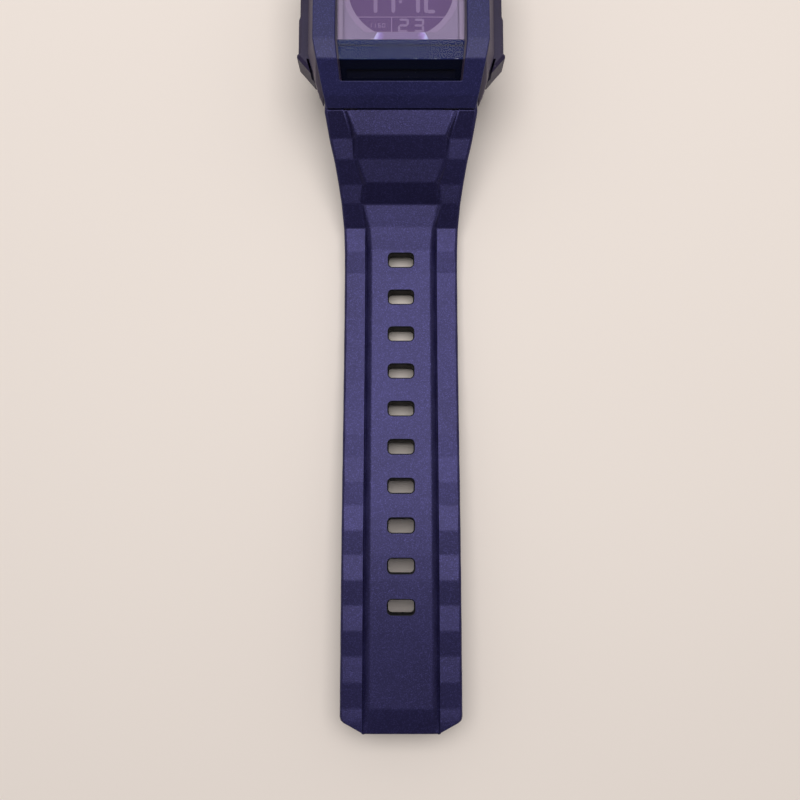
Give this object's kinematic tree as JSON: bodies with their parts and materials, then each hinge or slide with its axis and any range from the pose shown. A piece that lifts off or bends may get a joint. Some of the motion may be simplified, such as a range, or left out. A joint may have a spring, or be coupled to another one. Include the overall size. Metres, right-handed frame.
{
  "type": "digital watch",
  "caption": "Digital wristwatch with a faceted glass in a resin bezel, side buttons behind guards, and a slotted resin strap with zigzag rails and a steel buckle.",
  "frame": {"origin": "centre of the case back's outer face", "axes": "+X to 3 o'clock, +Y to 12 o'clock along the short strap, +Z out of the face"},
  "size_m": [0.0402, 0.2384, 0.0213],
  "materials": {
    "strap_resin": "satin, with fine pearl specks",
    "case_resin": "matt charcoal, fine grain",
    "mineral_glass": "polished",
    "seal_rubber": "matt",
    "mask_film": "printed film",
    "solar_cell": "dark cell under film",
    "brass_disc": "plain",
    "module_plastic": "moulded",
    "board_laminate": "solder mask",
    "chip_resin": "moulded",
    "bright_metal": "bright",
    "spring_steel": "plain",
    "display_glass": "polarised",
    "light_panel": "even",
    "satin_steel": "satin"
  },
  "bodies": {
    "case": {"back_gasket": "seal_rubber", "backlight_panel": "light_panel", "bezel": "strap_resin", "button_contacts": "spring_steel", "button_seals": "seal_rubber", "button_spring_lower_left": "spring_steel", "button_spring_lower_right": "spring_steel", "button_spring_upper_left": "spring_steel", "button_spring_upper_right": "spring_steel", "case_back": "satin_steel", "case_back_screws": "satin_steel", "case_body": "case_resin", "cell_clip": "spring_steel", "circuit_board": "board_laminate", "crystal": "mineral_glass", "crystal_gasket": "seal_rubber", "dial_mask": "mask_film", "lcd_connectors": "seal_rubber", "lcd_panel": "display_glass", "module_chips": "chip_resin", "module_cushion": "seal_rubber", "module_frame": "module_plastic", "piezo_element": "brass_disc", "quartz_resonator": "bright_metal", "solar_cells": "solar_cell", "spring_bar_spring_long": "spring_steel", "spring_bar_spring_short": "spring_steel", "spring_bar_tips_long": "satin_steel", "spring_bar_tips_short": "satin_steel", "spring_bar_tube_long": "satin_steel", "spring_bar_tube_short": "satin_steel", "storage_cell": "bright_metal"},
    "long_strap": {"long_strap": "strap_resin"},
    "short_strap": {"short_strap": "strap_resin"},
    "strap_keeper": {"strap_keeper": "strap_resin"},
    "buckle_frame": {"buckle_frame": "satin_steel", "buckle_bar": "satin_steel"},
    "buckle_tongue": {"buckle_tongue": "satin_steel"},
    "button_upper_left": {"button_upper_left": "satin_steel", "button_clip_upper_left": "spring_steel"},
    "button_lower_left": {"button_lower_left": "satin_steel", "button_clip_lower_left": "spring_steel"},
    "button_upper_right": {"button_upper_right": "satin_steel", "button_clip_upper_right": "spring_steel"},
    "button_lower_right": {"button_lower_right": "satin_steel", "button_clip_lower_right": "spring_steel"}
  },
  "joints": [
    {"name": "long_strap_hinge", "type": "hinge", "parent": "case", "child": "long_strap", "pos_m": [0, -0.0204, 0.0032], "axis": [1, 0, 0], "range_deg": [0, 30]},
    {"name": "short_strap_hinge", "type": "hinge", "parent": "case", "child": "short_strap", "pos_m": [0, 0.0204, 0.0032], "axis": [-1, 0, 0], "range_deg": [0, 30]},
    {"name": "keeper_slide", "type": "slide", "parent": "short_strap", "child": "strap_keeper", "axis": [0, 1, 0], "range_m": [-0.0035, 0.0035]},
    {"name": "buckle_frame_hinge", "type": "hinge", "parent": "short_strap", "child": "buckle_frame", "pos_m": [0, 0.08419, -0.00452], "axis": [1, 0, 0], "range_deg": [-45, 20]},
    {"name": "buckle_tongue_hinge", "type": "hinge", "parent": "buckle_frame", "child": "buckle_tongue", "pos_m": [0, 0.08419, -0.00452], "axis": [1, 0, 0], "range_deg": [0, 80]},
    {"name": "button_upper_left_press", "type": "slide", "parent": "case", "child": "button_upper_left", "axis": [1, 0, 0], "range_m": [0, 0.0009], "stiffness_N_per_m": 800, "springref_m": -0.0008, "deforming": ["button_spring_upper_left"]},
    {"name": "button_lower_left_press", "type": "slide", "parent": "case", "child": "button_lower_left", "axis": [1, 0, 0], "range_m": [0, 0.0009], "stiffness_N_per_m": 800, "springref_m": -0.0008, "deforming": ["button_spring_lower_left"]},
    {"name": "button_upper_right_press", "type": "slide", "parent": "case", "child": "button_upper_right", "axis": [-1, 0, 0], "range_m": [0, 0.0009], "stiffness_N_per_m": 800, "springref_m": -0.0008, "deforming": ["button_spring_upper_right"]},
    {"name": "button_lower_right_press", "type": "slide", "parent": "case", "child": "button_lower_right", "axis": [-1, 0, 0], "range_m": [0, 0.0009], "stiffness_N_per_m": 800, "springref_m": -0.0008, "deforming": ["button_spring_lower_right"]}
  ]
}
